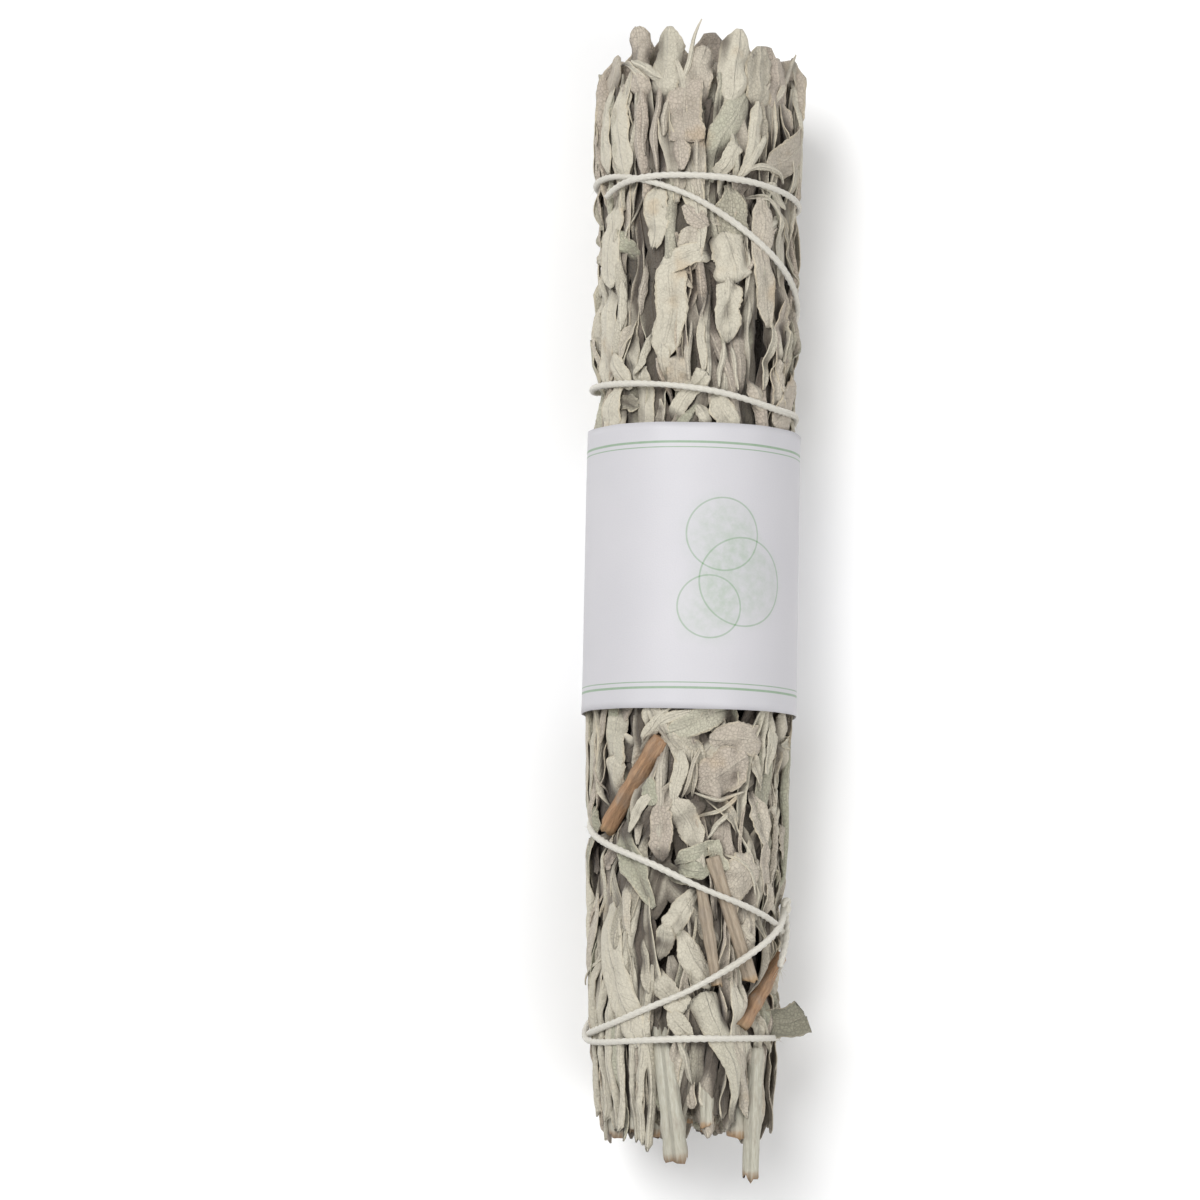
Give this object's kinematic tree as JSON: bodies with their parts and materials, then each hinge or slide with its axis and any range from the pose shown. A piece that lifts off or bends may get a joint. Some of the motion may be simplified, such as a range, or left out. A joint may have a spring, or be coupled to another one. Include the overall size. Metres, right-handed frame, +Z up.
{
  "type": "dried sage bundle",
  "caption": "Long round bundle of dried white sage sprigs lying on its side, wound with knotted cotton string and banded with printed paper, for burning as incense or as decor.",
  "frame": {"origin": "on the surface it lies on, under the middle of the whole bundle", "axes": "+Y along the bundle from the cut stems to the leaf tips, +Z up out of the surface, +X to the right"},
  "size_m": [0.0454, 0.2252, 0.0422],
  "materials": {
    "sage_leaf": "matt, felted dry leaf",
    "twig_wood": "matt dry bark",
    "string": "undyed twisted cotton",
    "paper": "smooth matt white paper with soft green printing"
  },
  "bodies": {
    "root": {"sage_sprig_01": "sage_leaf", "sage_sprig_02": "sage_leaf", "sage_sprig_03": "sage_leaf", "sage_sprig_04": "sage_leaf", "sage_sprig_05": "sage_leaf", "sage_sprig_06": "sage_leaf", "sage_sprig_07": "sage_leaf", "sage_sprig_08": "sage_leaf", "sage_sprig_09": "sage_leaf", "sage_sprig_10": "sage_leaf", "sage_sprig_11": "sage_leaf", "sage_sprig_12": "sage_leaf", "sage_sprig_13": "sage_leaf", "sage_sprig_14": "sage_leaf", "sage_sprig_15": "sage_leaf", "sage_sprig_16": "sage_leaf", "sage_sprig_17": "sage_leaf", "bare_twig_1": "twig_wood", "bare_twig_2": "twig_wood", "bare_twig_3": "twig_wood", "bare_twig_4": "twig_wood", "cotton_string": "string", "paper_band": "paper"}
  },
  "joints": []
}
